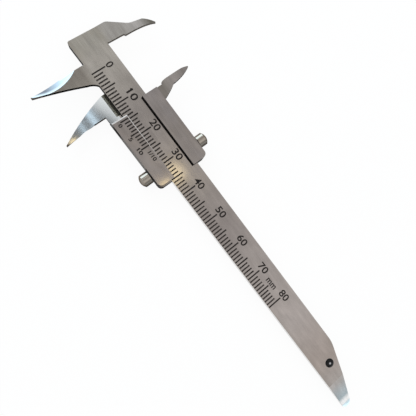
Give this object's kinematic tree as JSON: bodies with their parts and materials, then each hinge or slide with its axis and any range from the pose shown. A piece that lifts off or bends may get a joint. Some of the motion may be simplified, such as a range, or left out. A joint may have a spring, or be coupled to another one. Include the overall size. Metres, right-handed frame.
{
  "type": "dental vernier caliper",
  "caption": "Flat steel vernier caliper for dental work, with hooked outside jaws, crossing knife-edge inside jaws and a slide held by a sprung squeeze brake.",
  "frame": {"origin": "on the beam's back face, on the beam's centre line, at the zero line of the millimetre scale", "axes": "+X along the beam from the head to the tail, +Y across it towards the outside jaws, +Z out of the graduated front face"},
  "size_m": [0.1294, 0.0399, 0.0049],
  "materials": {
    "satin_steel": "satin, brushed lengthwise",
    "polished_steel": "turned and polished",
    "dark_steel": "blackened, glossy dome",
    "spring_steel": "bright drawn wire and strip"
  },
  "bodies": {
    "beam": {"beam": "satin_steel", "stop_pin": "dark_steel"},
    "slide": {"slide_body": "satin_steel", "back_plate": "satin_steel", "vernier_plate": "satin_steel", "retaining_plate": "satin_steel", "vernier_screws": "polished_steel", "retainer_screws": "polished_steel", "left_spring": "spring_steel", "right_spring": "spring_steel"},
    "left_brake": {"left_button": "polished_steel", "left_clamp": "spring_steel"},
    "right_brake": {"right_button": "polished_steel", "right_clamp": "spring_steel"}
  },
  "joints": [
    {"name": "slide_travel", "type": "slide", "parent": "beam", "child": "slide", "axis": [1, 0, 0], "range_m": [-0.01478, 0.0678]},
    {"name": "left_press", "type": "slide", "parent": "slide", "child": "left_brake", "axis": [0, 1, 0], "range_m": [0, 0.0003], "stiffness_N_per_m": 1000, "springref_m": -0.0015, "deforming": ["left_spring"]},
    {"name": "right_press", "type": "slide", "parent": "slide", "child": "right_brake", "axis": [0, -1, 0], "range_m": [0, 0.0003], "stiffness_N_per_m": 1000, "springref_m": -0.0015, "deforming": ["right_spring"]}
  ]
}
